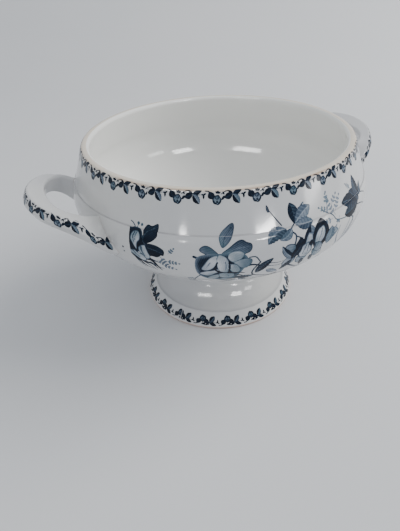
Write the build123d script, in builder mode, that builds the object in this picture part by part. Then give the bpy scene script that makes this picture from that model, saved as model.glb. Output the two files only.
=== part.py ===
"""Footed soup tureen in glazed earthenware: bowl, pedestal foot, two strap handles.

Frame: +Z up, origin at the centre of the standing ring, one handle on each side
along X, the decorated front towards -Y.  Millimetres.

The bowl, the foot and the two handles are made separately and luted together
with clay slip, so every luted seam is a thin body of its own.
"""
from build123d import *
import os
from math import asin, atan2, cos, degrees, hypot, radians, sin, sqrt

os.makedirs("parts", exist_ok=True)

# ---------------------------------------------------------------- sizes (mm)
LIP_W = 7.5               # width of the lip
LIP_ROUND = 2.8           # rounding of both lip edges
COLLAR_H = 27.5           # shoulder line to the top of the lip
COLLAR_IN = 9.77          # how far the collar leans in from foot to lip
LEDGE = 0.5               # step at the shoulder line
SHOULDER_UP = 13.3        # widest line to the shoulder line
BELLY_D = 247.0           # widest diameter
BELLY_UP = 64.7           # underside of the bowl to its widest line
UPPER_ARC = 29.0          # belly curve above the widest line
LOWER_ARC = 40.0          # belly curve below it
KEEL_TURN = 45.0          # slope (degrees) where that curve runs into the keel
WALL = 6.0                # wall of the bowl
FLOOR = 7.0               # thickness of the bowl's floor
FLOOR_ROUND = 40.0        # inside curve where the wall runs into the floor

SLIP = 0.6                # thickness of the clay slip in every luted seam
FOOT_H = 50.4             # pedestal height, up to its seam
FOOT_D = 143.0            # outside of the standing ring
FOOT_EDGE = 2.0           # upright edge of the standing ring
BAND_H = 13.3             # height of the printed band on the foot
BAND_TOP_D = 127.2        # its upper diameter
BAND_STEP = 0.5           # step above the band
STEM_D = 86.0             # waist of the pedestal
NECK_FLARE = 3.0          # how far the pedestal widens above its waist
NECK_H = 10.4             # waist of the pedestal up to its seam
NECK_LAP = 0.8            # neck standing out past the bowl's flat underside
FOOT_WALL = 6.5           # wall of the hollow pedestal
FOOT_ROUND = 1.6          # rounding of the standing ring

HANDLE_OUT = 35.5         # widest line of the belly to the outside of a handle
HANDLE_SPREAD = 47.0      # half the width of a handle, strap centre at the pads
ROOT_SINK = 5.7           # depth behind the belly's widest line where the loop starts
HANDLE_SWING = 2.0        # degrees by which both handles sit towards the back
STRAP_W = 12.5            # width of the strap's top face
STRAP_H = 16.0            # height of the strap at its outermost point
STRAP_RISE = 11.0         # shoulder line to the crest of the strap
STRAP_ROUND = 2.4         # rounding of the strap's edges

BELLY_R = BELLY_D / 2
SHOULDER_R = BELLY_R - UPPER_ARC + sqrt(UPPER_ARC**2 - SHOULDER_UP**2)
RIM_R = SHOULDER_R - LEDGE - COLLAR_IN
STEM_R = STEM_D / 2
NECK_R = STEM_R + NECK_FLARE
BASE_Z = FOOT_H + SLIP    # flat underside of the bowl
BELLY_Z = BASE_Z + BELLY_UP
SHOULDER_Z = BELLY_Z + SHOULDER_UP
HEIGHT = SHOULDER_Z + COLLAR_H
SHOULDER_TURN = degrees(asin((SHOULDER_Z - BELLY_Z) / UPPER_ARC))

# centres of the three belly curves, in the (radius, height) plane; the keel
# leaves the lower curve at KEEL_TURN and ends at the rim of the flat underside
UPPER_C = (BELLY_R - UPPER_ARC, BELLY_Z)
LOWER_C = (BELLY_R - LOWER_ARC, BELLY_Z)
KEEL_RUN = LOWER_C[0] + LOWER_ARC * cos(radians(KEEL_TURN)) - (NECK_R - NECK_LAP)
KEEL_DROP = BELLY_UP - LOWER_ARC * sin(radians(KEEL_TURN))
KEEL_HALF = radians(KEEL_TURN) - atan2(KEEL_DROP, KEEL_RUN)
KEEL_ARC = hypot(KEEL_RUN, KEEL_DROP) / (2 * sin(KEEL_HALF))
KEEL_C = (
    LOWER_C[0] - (KEEL_ARC - LOWER_ARC) * cos(radians(KEEL_TURN)),
    LOWER_C[1] + (KEEL_ARC - LOWER_ARC) * sin(radians(KEEL_TURN)),
)


def belly_curves(inset, stop_z, lip_r):
    """Draw collar and belly from the lip down to stop_z, moved in by inset."""
    step = LEDGE if inset <= 0 else 0.0
    upper = CenterArc(UPPER_C, UPPER_ARC - inset, SHOULDER_TURN, -SHOULDER_TURN)
    start = upper @ 0
    foot_of_collar = (start.X - step, start.Y)
    Line((lip_r, HEIGHT), foot_of_collar)
    if step:
        Line(foot_of_collar, (start.X, start.Y))
    CenterArc(LOWER_C, LOWER_ARC - inset, 0, -KEEL_TURN)
    turn = degrees(asin((KEEL_C[1] - stop_z) / (KEEL_ARC - inset)))
    keel = CenterArc(KEEL_C, KEEL_ARC - inset, -KEEL_TURN, KEEL_TURN - turn)
    return keel @ 1


def body_block(outset):
    """The outside of the bowl as a filled solid, grown by outset."""
    with BuildPart() as block:
        with BuildSketch(Plane.XZ):
            with BuildLine():
                end = belly_curves(-outset, BASE_Z, RIM_R + outset)
                Line((end.X, end.Y), (0, BASE_Z))
                Line((0, BASE_Z), (0, HEIGHT))
                Line((0, HEIGHT), (RIM_R + outset, HEIGHT))
            make_face()
        revolve(axis=Axis.Z)
    return block.part


# ---------------------------------------------------------------- bowl
with BuildPart() as bowl:
    with BuildSketch(Plane.XZ):
        with BuildLine():
            low = belly_curves(0, BASE_Z, RIM_R)
            inner = belly_curves(WALL, BASE_Z + FLOOR, RIM_R - LIP_W)
            Line((RIM_R - LIP_W, HEIGHT), (RIM_R, HEIGHT))
            Line((low.X, low.Y), (0, BASE_Z))
            Line((0, BASE_Z), (0, BASE_Z + FLOOR))
            Line((0, BASE_Z + FLOOR), (inner.X, inner.Y))
        make_face()
    revolve(axis=Axis.Z)
    lip_edges = bowl.edges().filter_by(GeomType.CIRCLE).group_by(Axis.Z)[-1]
    fillet(lip_edges, LIP_ROUND)
    floor_edge = bowl.edges().filter_by(GeomType.CIRCLE).filter_by(
        lambda e: abs(e.center().Z - BASE_Z - FLOOR) < 0.01 and e.radius > 10
    )
    fillet(floor_edge, FLOOR_ROUND)

# ---------------------------------------------------------------- pedestal foot
FOOT_R = FOOT_D / 2
BAND_R = BAND_TOP_D / 2
STEM_Z = FOOT_H - NECK_H
with BuildPart() as foot:
    with BuildSketch(Plane.XZ):
        with BuildLine():
            Line((FOOT_R - FOOT_WALL - 1, 0), (FOOT_R, 0))
            Line((FOOT_R, 0), (FOOT_R, FOOT_EDGE))
            Line((FOOT_R, FOOT_EDGE), (BAND_R, BAND_H))
            Line((BAND_R, BAND_H), (BAND_R - BAND_STEP, BAND_H))
            TangentArc((STEM_R, STEM_Z), (BAND_R - BAND_STEP, BAND_H), tangent=(0, -1))
            TangentArc((STEM_R, STEM_Z), (NECK_R, FOOT_H), tangent=(0, 1))
            Line((NECK_R, FOOT_H), (STEM_R - FOOT_WALL, FOOT_H))
            Line((STEM_R - FOOT_WALL, FOOT_H), (STEM_R - FOOT_WALL, STEM_Z))
            TangentArc(
                (STEM_R - FOOT_WALL, STEM_Z), (BAND_R - FOOT_WALL, BAND_H - 3), tangent=(0, -1)
            )
            Line((BAND_R - FOOT_WALL, BAND_H - 3), (FOOT_R - FOOT_WALL - 1, 0))
        make_face()
    revolve(axis=Axis.Z)
    ring_edges = foot.edges().filter_by(GeomType.CIRCLE).group_by(Axis.Z)[0]
    fillet(ring_edges, FOOT_ROUND)

with BuildPart() as foot_slip:
    with BuildSketch(Plane.XY.offset(FOOT_H)):
        Circle(NECK_R)
        Circle(STEM_R - FOOT_WALL, mode=Mode.SUBTRACT)
    extrude(amount=SLIP)

# ---------------------------------------------------------------- handles
# Stations round half a loop.  Columns: share of the reach beyond the root, share
# of the spread, direction the strap faces (degrees from X), then the five corners
# of the section as (outwards from the centre line, down from the crest): inner
# top, crest, swell of the outer face, outer bottom, inner bottom.  The corners
# are drawn for a strap of STATION_W by STATION_H and scale with the strap.
STATION_W, STATION_H = 12.5, 16.0
LOOP_ROOT = sqrt(BELLY_R**2 - HANDLE_SPREAD**2) - ROOT_SINK
LOOP_OUT = BELLY_R + HANDLE_OUT - STRAP_W * 0.62
STATIONS = (
    (0.00, 0.98, 92, (-13.0, 5.5), (4.5, 28.0), (9.0, 36.0), (2.0, 42.0), (-5.0, 42.0)),
    (0.25, 0.97, 88, (-10.3, 6.5), (6.2, 21.5), (8.2, 27.0), (5.8, 32.5), (-4.5, 34.5)),
    (0.49, 0.91, 74, (-6.0, 6.2), (5.0, 9.3), (7.6, 15.5), (5.0, 22.5), (-3.5, 24.0)),
    (0.78, 0.67, 45, (-6.0, 5.0), (4.3, 3.2), (7.2, 9.3), (4.0, 16.0), (-3.5, 17.2)),
    (0.96, 0.30, 15, (-7.8, 4.2), (5.0, 0.5), (8.6, 7.5), (5.0, 15.0), (-4.0, 16.2)),
)


def strap_section(share, spread, facing, corners, side):
    """Sketch one cross-section of the strap across the loop."""
    widen = STRAP_W / STATION_W
    deepen = STRAP_H / STATION_H
    facing = radians(facing) * side
    centre = (
        LOOP_ROOT + (LOOP_OUT - LOOP_ROOT) * share,
        HANDLE_SPREAD * spread * side,
        SHOULDER_Z + STRAP_RISE,
    )
    out_dir = (cos(facing), sin(facing), 0)
    along = (sin(facing), -cos(facing), 0)
    with BuildSketch(Plane(origin=centre, x_dir=out_dir, z_dir=along)) as section:
        with BuildLine():
            Polyline([(w * widen, -d * deepen) for w, d in corners], close=True)
        make_face()
        fillet(section.vertices(), STRAP_ROUND)
    return section.sketch


with BuildPart() as straight_loop:
    for share, spread, facing, *corners in STATIONS:
        add(strap_section(share, spread, facing, corners, 1))
    for share, spread, facing, *corners in reversed(STATIONS):
        add(strap_section(share, spread, facing, corners, -1))
    loft()

with BuildPart() as loop:
    add(straight_loop.part.rotate(Axis.Z, HANDLE_SWING))

body_outside = body_block(0)
slip_outside = body_block(SLIP)

with BuildPart() as handle_right:
    add(loop.part)
    add(slip_outside, mode=Mode.SUBTRACT)

with BuildPart() as pads:
    add(loop.part)
    add(body_outside, mode=Mode.SUBTRACT)
    add(slip_outside, mode=Mode.INTERSECT)

with BuildPart() as right_front_seam:
    add(pads.solids().sort_by(Axis.Y)[0])

with BuildPart() as right_back_seam:
    add(pads.solids().sort_by(Axis.Y)[-1])

with BuildPart() as handle_left:
    add(mirror(handle_right.part, about=Plane.YZ))

with BuildPart() as left_front_seam:
    add(mirror(right_front_seam.part, about=Plane.YZ))

with BuildPart() as left_back_seam:
    add(mirror(right_back_seam.part, about=Plane.YZ))

# ---------------------------------------------------------------- export
bowl.part.label = "bowl"
foot.part.label = "pedestal_foot"
foot_slip.part.label = "foot_seam"
handle_right.part.label = "handle_right"
handle_left.part.label = "handle_left"
right_front_seam.part.label = "handle_right_front_seam"
right_back_seam.part.label = "handle_right_back_seam"
left_front_seam.part.label = "handle_left_front_seam"
left_back_seam.part.label = "handle_left_back_seam"

export_step(bowl.part, "parts/bowl.step")
export_step(foot.part, "parts/pedestal_foot.step")
export_step(foot_slip.part, "parts/foot_seam.step")
export_step(handle_right.part, "parts/handle_right.step")
export_step(handle_left.part, "parts/handle_left.step")
export_step(right_front_seam.part, "parts/handle_right_front_seam.step")
export_step(right_back_seam.part, "parts/handle_right_back_seam.step")
export_step(left_front_seam.part, "parts/handle_left_front_seam.step")
export_step(left_back_seam.part, "parts/handle_left_back_seam.step")
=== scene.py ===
"""Footed soup tureen with a blue transfer print, in the part's frame (metres).

The bowl and the foot are rebuilt as smooth turned meshes over their CAD nodes.
The print is drawn with leaves, petals and strokes on flat sheets in millimetres,
cut out along its outline, and laid over the glaze as thin closed shells.
"""
import math

import bpy
import numpy as np
from mathutils import Matrix, Vector
from mathutils.bvhtree import BVHTree


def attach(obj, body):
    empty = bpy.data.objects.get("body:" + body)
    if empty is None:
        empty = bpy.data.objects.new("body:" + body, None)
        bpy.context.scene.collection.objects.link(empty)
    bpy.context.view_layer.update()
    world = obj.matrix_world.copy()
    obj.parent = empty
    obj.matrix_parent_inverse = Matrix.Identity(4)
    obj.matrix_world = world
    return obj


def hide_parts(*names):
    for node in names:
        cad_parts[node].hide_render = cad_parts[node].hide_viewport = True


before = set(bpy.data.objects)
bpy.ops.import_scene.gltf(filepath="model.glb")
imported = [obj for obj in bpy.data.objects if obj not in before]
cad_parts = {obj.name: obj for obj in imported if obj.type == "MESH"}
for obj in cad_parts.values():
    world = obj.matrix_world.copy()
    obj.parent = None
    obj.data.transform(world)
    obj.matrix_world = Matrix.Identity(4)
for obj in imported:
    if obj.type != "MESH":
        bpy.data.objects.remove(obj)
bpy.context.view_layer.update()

MM = 0.001
SEGMENTS = 288            # round the bowl and the foot
INK = 0.04                # height of the print over the glaze, mm
GRID = 0.38               # spacing of the sheets that the print is drawn on, mm
DEG_MM = 2.094            # one degree of the bowl, in mm at a radius of 120 mm

# ---------------------------------------------------------------- profiles (mm)
RIM_R, LIP_W, LIP_ROUND, HEIGHT = 110.0, 7.5, 2.8, 156.5
SHOULDER_Z, LEDGE = 129.0, 0.5
BELLY_R, BELLY_Z, BASE_Z, FLOOR_Z = 123.5, 115.7, 51.0, 58.0
UPPER_ARC, LOWER_ARC, KEEL_ARC, FLOOR_ROUND, WALL = 29.0, 40.0, 135.0, 40.0, 6.0
UPPER_C = (BELLY_R - UPPER_ARC, BELLY_Z)
LOWER_C = (BELLY_R - LOWER_ARC, BELLY_Z)
SHOULDER_TURN = math.degrees(math.asin((SHOULDER_Z - BELLY_Z) / UPPER_ARC))
HALF = math.sqrt(0.5)     # the keel's curve starts 45 degrees down
KEEL_C = (LOWER_C[0] - (KEEL_ARC - LOWER_ARC) * HALF,
          LOWER_C[1] + (KEEL_ARC - LOWER_ARC) * HALF)


def arc(c, r, a0, a1, n):
    a = np.radians(np.linspace(a0, a1, n))
    return [(c[0] + r * math.cos(t), c[1] + r * math.sin(t)) for t in a]


def line(p, q, n):
    return [tuple(np.add(p, np.multiply(t, np.subtract(q, p)))) for t in np.linspace(0, 1, n)]


def rounded(points, radii, n=7):
    """The polyline with its marked corners rounded; neighbours may be curves."""
    out = []
    for i, p in enumerate(points):
        r = radii.get(i, 0)
        if not r:
            out.append(p)
            continue
        a, b, c = (np.array(points[j % len(points)], float) for j in (i - 1, i, i + 1))
        u, v = a - b, c - b
        u, v = u / np.linalg.norm(u), v / np.linalg.norm(v)
        half = math.acos(np.clip(u @ v, -1, 1)) / 2
        t = r / math.tan(half)
        m = (u + v) / np.linalg.norm(u + v)
        centre = b + m * r / math.sin(half)
        p0, p1 = b + u * t - centre, b + v * t - centre
        a0, a1 = math.atan2(p0[1], p0[0]), math.atan2(p1[1], p1[0])
        d = (a1 - a0 + math.pi) % (2 * math.pi) - math.pi
        out += [(centre[0] + r * math.cos(a0 + d * k), centre[1] + r * math.sin(a0 + d * k))
                for k in np.linspace(0, 1, n)]
    return out


def belly(inset, stop_z, n):
    """Both belly curves below the shoulder, moved in by inset, down to stop_z."""
    end = math.degrees(math.asin((KEEL_C[1] - stop_z) / (KEEL_ARC - inset)))
    return (arc(UPPER_C, UPPER_ARC - inset, SHOULDER_TURN, 0, n)
            + arc(LOWER_C, LOWER_ARC - inset, 0, -45, n)[1:]
            + arc(KEEL_C, KEEL_ARC - inset, -45, -end, 2 * n)[1:])


outer = belly(0, BASE_Z, 24)
collar_foot = (outer[0][0] - LEDGE, outer[0][1])
inner = belly(WALL, FLOOR_Z, 20)
lip_out = rounded([(RIM_R - 60, 120), (RIM_R - LIP_W, HEIGHT), (RIM_R, HEIGHT), collar_foot],
                  {2: LIP_ROUND}, 9)[2:-1]
lip_in = rounded([(RIM_R, HEIGHT), (RIM_R - LIP_W, HEIGHT), inner[0]], {1: LIP_ROUND}, 9)[1:-1]

# inside, the wall runs into the flat floor through FLOOR_ROUND
reach = KEEL_ARC - WALL - FLOOR_ROUND
floor_z = FLOOR_Z + FLOOR_ROUND
floor_c = (KEEL_C[0] + math.sqrt(reach ** 2 - (KEEL_C[1] - floor_z) ** 2), floor_z)
touch = math.degrees(math.atan2(floor_c[1] - KEEL_C[1], floor_c[0] - KEEL_C[0]))
wall_in = (arc(UPPER_C, UPPER_ARC - WALL, SHOULDER_TURN, 0, 14)
           + arc(LOWER_C, LOWER_ARC - WALL, 0, -45, 20)[1:]
           + arc(KEEL_C, KEEL_ARC - WALL, -45, touch, 30)[1:]
           + arc(floor_c, FLOOR_ROUND, touch, -90, 14)[1:])
BOWL = ([(0, BASE_Z)] + line((12, BASE_Z), (outer[-1][0], BASE_Z), 4)[:-1] + outer[::-1]
        + line(collar_foot, lip_out[-1], 10) + lip_out[::-1][1:]
        + lip_in + line(lip_in[-1], wall_in[0], 10)[1:] + wall_in[1:]
        + line(wall_in[-1], (10, FLOOR_Z), 5)[1:] + [(0, FLOOR_Z)])

FOOT_H, FOOT_R, FOOT_EDGE, FOOT_ROUND, FOOT_WALL = 50.4, 71.5, 2.0, 1.6, 6.5
BAND_R, BAND_H, BAND_STEP = 63.6, 13.3, 0.5
STEM_R, STEM_Z, NECK_R = 43.0, 40.0, 46.0


def tangent_arc(p, q, up, n):
    """Arc from p, leaving it straight up or down, to q."""
    dr, dz = q[0] - p[0], q[1] - p[1]
    r = (dr * dr + dz * dz) / (2 * dr)
    a = math.degrees(math.atan2(dz, dr - r))
    return arc((p[0] + r, p[1]), r, 180, a if up else a + 360, n)


stem = tangent_arc((STEM_R, STEM_Z), (BAND_R - BAND_STEP, BAND_H), False, 34)
neck = tangent_arc((STEM_R, STEM_Z), (NECK_R, FOOT_H), True, 10)
stem_in = tangent_arc((STEM_R - FOOT_WALL, STEM_Z), (BAND_R - FOOT_WALL, BAND_H - 3), False, 30)
# the standing ring: both its lower edges are rounded
ring = rounded([(57, 10), (FOOT_R - FOOT_WALL - 1, 0), (FOOT_R, 0), (FOOT_R, FOOT_EDGE), (BAND_R, BAND_H)],
               {1: FOOT_ROUND, 2: FOOT_ROUND}, 7)[1:-2]
FOOT = (line((STEM_R - FOOT_WALL, FOOT_H), (STEM_R - FOOT_WALL, STEM_Z), 4)
        + stem_in[1:] + line(stem_in[-1], ring[0], 6)[1:-1] + ring
        + line((FOOT_R, FOOT_EDGE), (BAND_R, BAND_H), 8)
        + stem[::-1] + neck[1:] + line((NECK_R, FOOT_H), (STEM_R - FOOT_WALL, FOOT_H), 4)[1:])


def added(name, data):
    """New object with this data, linked into the scene."""
    obj = bpy.data.objects.new(name, data)
    bpy.context.scene.collection.objects.link(obj)
    return obj


def values(items, key, per=1, kind=int):
    """A value, or a number of values, of every item of a mesh as one array."""
    out = np.empty(len(items) * per, kind)
    items.foreach_get(key, out)
    return out


def turned(name, profile, closed):
    """Mesh of the profile turned round Z; a profile that isn't closed meets the axis."""
    prof = [profile[0]]
    for p in profile[1:]:
        if math.dist(p, prof[-1]) > 1e-4:
            prof.append(p)
    if closed and math.dist(prof[0], prof[-1]) < 1e-4:
        prof.pop()
    ang = np.linspace(0, 2 * math.pi, SEGMENTS, endpoint=False)
    body = prof if closed else prof[1:-1]
    n = len(body)
    verts = [(r * c * MM, r * s * MM, z * MM) for r, z in body for c, s in zip(np.cos(ang), np.sin(ang))]
    faces = []
    for i in range(n if closed else n - 1):
        j = (i + 1) % n
        for k in range(SEGMENTS):
            m = (k + 1) % SEGMENTS
            faces.append((i * SEGMENTS + k, i * SEGMENTS + m, j * SEGMENTS + m, j * SEGMENTS + k))
    if not closed:
        for end, row, flip in ((prof[0], 0, True), (prof[-1], n - 1, False)):
            centre = len(verts)
            verts.append((0, 0, end[1] * MM))
            for k in range(SEGMENTS):
                m = (k + 1) % SEGMENTS
                a, b = row * SEGMENTS + k, row * SEGMENTS + m
                faces.append((centre, b, a) if flip else (centre, a, b))
    mesh = bpy.data.meshes.new(name)
    mesh.from_pydata(verts, [], faces)
    mesh.shade_smooth()
    mesh.set_sharp_from_angle(angle=math.radians(32))
    mesh.validate()
    return outward(added(name, mesh))


def outward(obj):
    """Turn the faces outwards if the mesh encloses a negative volume."""
    me = obj.data
    co = values(me.vertices, "co", 3, float).reshape(-1, 3)
    me.calc_loop_triangles()
    tri = values(me.loop_triangles, "vertices", 3).reshape(-1, 3)
    a, b, c = (co[tri[:, i]] for i in range(3))
    if (a * np.cross(b, c)).sum() < 0:
        me.flip_normals()
    return obj


def catmull_rom(a, b, c, d, t):
    """Point at t between b and c on the smooth curve through a, b, c and d."""
    return 0.5 * (2 * b + (c - a) * t + (2 * a - 5 * b + 4 * c - d) * t ** 2
                  + (3 * b - a - 3 * c + d) * t ** 3)


# ---------------------------------------------------------------- node helpers
def new_material(name):
    m = bpy.data.materials.new(name)
    m.use_nodes = True
    nt = m.node_tree
    return m, nt, nt.nodes["Principled BSDF"]


def node(nt, kind, **values):
    n = nt.nodes.new(kind)
    for key, val in values.items():
        if hasattr(n, key):
            setattr(n, key, val)
        else:
            n.inputs[key.replace("_", " ")].default_value = val
    return n


def noise(nt, coord, scale, detail=3.0, rough=0.5):
    n = node(nt, "ShaderNodeTexNoise", Scale=scale, Detail=detail, Roughness=rough)
    nt.links.new(coord, n.inputs["Vector"])
    return n.outputs["Fac"]


def steps(nt, value, lo, hi, out_lo=0.0, out_hi=1.0):
    n = nt.nodes.new("ShaderNodeMapRange")
    n.clamp = True
    n.interpolation_type = "SMOOTHSTEP"
    for k, v in zip(("From Min", "From Max", "To Min", "To Max"), (lo, hi, out_lo, out_hi)):
        n.inputs[k].default_value = v
    nt.links.new(value, n.inputs["Value"])
    return n.outputs["Result"]


def calc(nt, op, a, b=None):
    n = nt.nodes.new("ShaderNodeMath")
    n.operation = op
    for i, v in enumerate((a, b)):
        if v is None:
            continue
        if hasattr(v, "is_output"):
            nt.links.new(v, n.inputs[i])
        else:
            n.inputs[i].default_value = v
    return n.outputs[0]


def product(nt, *values):
    """Product of two or more node values."""
    out = values[0]
    for v in values[1:]:
        out = calc(nt, "MULTIPLY", out, v)
    return out


def mix(nt, fac, a, b):
    n = nt.nodes.new("ShaderNodeMix")
    n.data_type = "RGBA"
    ins = {i.identifier: i for i in n.inputs}
    for key, v in (("Factor_Float", fac), ("A_Color", a), ("B_Color", b)):
        if hasattr(v, "is_output"):
            nt.links.new(v, ins[key])
        elif key == "Factor_Float":
            ins[key].default_value = v
        else:
            ins[key].default_value = (*v, 1)
    return next(o for o in n.outputs if o.identifier == "Result_Color")


def position(nt):
    coord = nt.nodes.new("ShaderNodeTexCoord").outputs["Object"]
    xyz = nt.nodes.new("ShaderNodeSeparateXYZ")
    nt.links.new(coord, xyz.inputs[0])
    return coord, xyz.outputs["X"], xyz.outputs["Y"], xyz.outputs["Z"]


def srgb(*rgb):
    return tuple((v / 255 / 12.92) if v < 10.3 else ((v / 255 + 0.055) / 1.055) ** 2.4 for v in rgb)


def glossy_finish(nt, shader, coord):
    """Clear glaze: low roughness with faint patches and a slow wobble of the surface."""
    patch = noise(nt, coord, 38.0, 4.0, 0.6)
    nt.links.new(steps(nt, patch, 0.3, 0.75, 0.07, 0.15), shader.inputs["Roughness"])
    slow = noise(nt, coord, 13.0, 1.0)
    fine = noise(nt, coord, 420.0, 3.0, 0.6)
    height = calc(nt, "ADD", slow, product(nt, fine, 0.006))
    bump = node(nt, "ShaderNodeBump", Strength=0.06, Distance=0.01)
    nt.links.new(height, bump.inputs["Height"])
    nt.links.new(bump.outputs["Normal"], shader.inputs["Normal"])
    shader.inputs["IOR"].default_value = 1.5
    shader.inputs["Coat Weight"].default_value = 0.12
    shader.inputs["Coat Roughness"].default_value = 0.04


def between(nt, value, rise_from, rise_to, fall_from, fall_to):
    """One inside a band of the value, fading to nothing at either side of it."""
    return product(nt, steps(nt, value, rise_from, rise_to), steps(nt, value, fall_from, fall_to, 1.0, 0.0))


def bowl_wear_and_painted_light(nt, coord, x, y, z, col):
    """Cream lip, painted light inside, and painted shade at the shoulder and over the foot; sizes in metres.
    """
    rim_z, rim_r, shoulder_z, base_z = (v * MM for v in (HEIGHT, RIM_R, SHOULDER_Z, BASE_Z))
    radius = calc(nt, "SQRT", calc(nt, "ADD", product(nt, x, x), product(nt, y, y)))
    grime = noise(nt, coord, 60.0, 5.0, 0.7)
    # cream lip, worn unevenly
    top = steps(nt, z, rim_z - 0.0020, rim_z - 0.0002)
    col = mix(nt, product(nt, top, steps(nt, grime, 0.25, 0.7, 0.55, 1.0)), col, srgb(219, 208, 190))
    worn = steps(nt, noise(nt, coord, 190.0, 4.0, 0.7), 0.62, 0.72, 0.0, 0.6)
    col = mix(nt, product(nt, top, worn), col, srgb(176, 142, 116))
    # painted light: the glaze inside is made lighter, where the surface faces the middle of the opening
    from_middle = node(nt, "ShaderNodeVectorMath", operation="SUBTRACT")
    from_middle.inputs[1].default_value = (0, 0, 0.125)
    facing = node(nt, "ShaderNodeVectorMath", operation="DOT_PRODUCT")
    nt.links.new(coord, from_middle.inputs[0])
    nt.links.new(from_middle.outputs[0], facing.inputs[0])
    nt.links.new(nt.nodes.new("ShaderNodeNewGeometry").outputs["Normal"], facing.inputs[1])
    inside = steps(nt, facing.outputs["Value"], -0.012, 0.0, 1.0, 0.0)
    col = mix(nt, inside, col, srgb(232, 232, 229))
    # the lip's outer edge is rubbed brown
    edge = product(nt, steps(nt, z, rim_z - 0.0014, rim_z - 0.0008),
                   steps(nt, radius, rim_r - 0.0014, rim_r - 0.0006))
    rub = steps(nt, noise(nt, coord, 34.0, 4.0, 0.65), 0.42, 0.66, 0.05, 0.75)
    col = mix(nt, product(nt, edge, rub), col, srgb(172, 140, 112))
    # painted shade in the step at the shoulder, broken up by noise, on the outside only
    outside = calc(nt, "GREATER_THAN", radius, (BELLY_R - WALL) * MM)
    shoulder_step_shade = between(nt, z, shoulder_z - 0.0007, shoulder_z, shoulder_z + 0.0001, shoulder_z + 0.0009)
    col = mix(nt, product(nt, shoulder_step_shade, steps(nt, grime, 0.2, 0.8, 0.3, 0.7), outside), col,
              srgb(150, 148, 152))
    # painted shade: darker towards the foot, under the belly
    seam_shade = steps(nt, z, base_z + 0.0005, base_z + 0.0050, 0.6, 0.0)
    return mix(nt, seam_shade, col, srgb(178, 172, 168))


def foot_wear_and_painted_shade(nt, coord, z, col):
    """Worn standing ring, with painted shade in the band's step and under the bowl; sizes in metres."""
    band_z, seam_z = BAND_H * MM, FOOT_H * MM
    grime = noise(nt, coord, 75.0, 5.0, 0.7)
    bare = product(nt, steps(nt, z, 0.0012, 0.0030, 1.0, 0.0), steps(nt, grime, 0.2, 0.6, 0.6, 1.0))
    col = mix(nt, bare, col, srgb(196, 164, 148))
    # painted shade in the step at the top of the band
    band_step_shade = between(nt, z, band_z - 0.0006, band_z, band_z + 0.0001, band_z + 0.0009)
    col = mix(nt, product(nt, band_step_shade, 0.25), col, srgb(150, 152, 158))
    # painted shade: darker at the top of the foot, under the bowl
    seam_shade = steps(nt, z, seam_z - 0.0039, seam_z - 0.0002, 0.0, 0.6)
    return mix(nt, seam_shade, col, srgb(176, 171, 168))


def body_glaze(name, where):
    """White earthenware under the glaze, with its wear, dirt and painted light and shade for this piece."""
    m, nt, shader = new_material(name)
    coord, x, y, z = position(nt)
    broad = noise(nt, coord, 9.0, 3.0, 0.55)
    col = mix(nt, steps(nt, broad, 0.3, 0.7), srgb(194, 195, 198), srgb(204, 204, 202))
    mottle = noise(nt, coord, 110.0, 4.0, 0.65)
    col = mix(nt, steps(nt, mottle, 0.5, 0.8, 0.0, 0.35), col, srgb(188, 189, 191))
    # pinholes and iron specks
    cells = node(nt, "ShaderNodeTexVoronoi", Scale=95.0)
    nt.links.new(coord, cells.inputs["Vector"])
    tint = nt.nodes.new("ShaderNodeSeparateColor")
    nt.links.new(cells.outputs["Color"], tint.inputs[0])
    rare = calc(nt, "GREATER_THAN", tint.outputs[0], 0.965)
    dot = steps(nt, cells.outputs["Distance"], 0.03, 0.055, 1.0, 0.0)
    col = mix(nt, product(nt, rare, dot, 0.75), col, srgb(96, 84, 74))
    if where == "bowl":
        col = bowl_wear_and_painted_light(nt, coord, x, y, z, col)
    if where == "foot":
        col = foot_wear_and_painted_shade(nt, coord, z, col)
    if where == "handle":
        grime = noise(nt, coord, 55.0, 5.0, 0.7)
        col = mix(nt, steps(nt, grime, 0.58, 0.75, 0.0, 0.45), col, srgb(196, 189, 181))
    if where == "slip":
        grime = noise(nt, coord, 240.0, 4.0, 0.7)
        col = mix(nt, steps(nt, grime, 0.3, 0.7, 0.3, 0.9), col, srgb(186, 181, 178))
    nt.links.new(col, shader.inputs["Base Color"])
    glossy_finish(nt, shader, coord)
    return m


def print_ink(name):
    """Blue-black transfer print: the sheet's tone picks the strength of the ink."""
    m, nt, shader = new_material(name)
    coord, *_ = position(nt)
    tone = node(nt, "ShaderNodeAttribute", attribute_name="tone").outputs["Fac"]
    wash = noise(nt, coord, 260.0, 4.0, 0.6)
    grain = noise(nt, coord, 1500.0, 2.0, 0.6)
    t = calc(nt, "ADD", tone, product(nt, calc(nt, "SUBTRACT", wash, 0.5), 0.26))
    t = calc(nt, "ADD", t, product(nt, calc(nt, "SUBTRACT", grain, 0.5), 0.16))
    ramp = nt.nodes.new("ShaderNodeValToRGB")
    nt.links.new(t, ramp.inputs["Fac"])
    stops = ((0.0, srgb(8, 15, 27)), (0.25, srgb(22, 37, 56)), (0.5, srgb(80, 94, 111)),
             (0.72, srgb(132, 143, 156)), (0.9, srgb(180, 186, 194)), (1.0, srgb(203, 206, 210)))
    el = ramp.color_ramp.elements
    while len(el) < len(stops):
        el.new(0.5)
    for e, (pos, col) in zip(el, stops):
        e.position, e.color = pos, (*col, 1)
    green = noise(nt, coord, 45.0, 2.0)
    col = mix(nt, product(nt, steps(nt, green, 0.42, 0.62, 0.0, 0.5), steps(nt, tone, 0.15, 0.5)),
              ramp.outputs["Color"], srgb(66, 98, 110))
    nt.links.new(col, shader.inputs["Base Color"])
    glossy_finish(nt, shader, coord)
    shader.inputs["Specular IOR Level"].default_value = 0.13
    shader.inputs["Coat Weight"].default_value = 0.0
    return m


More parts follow.
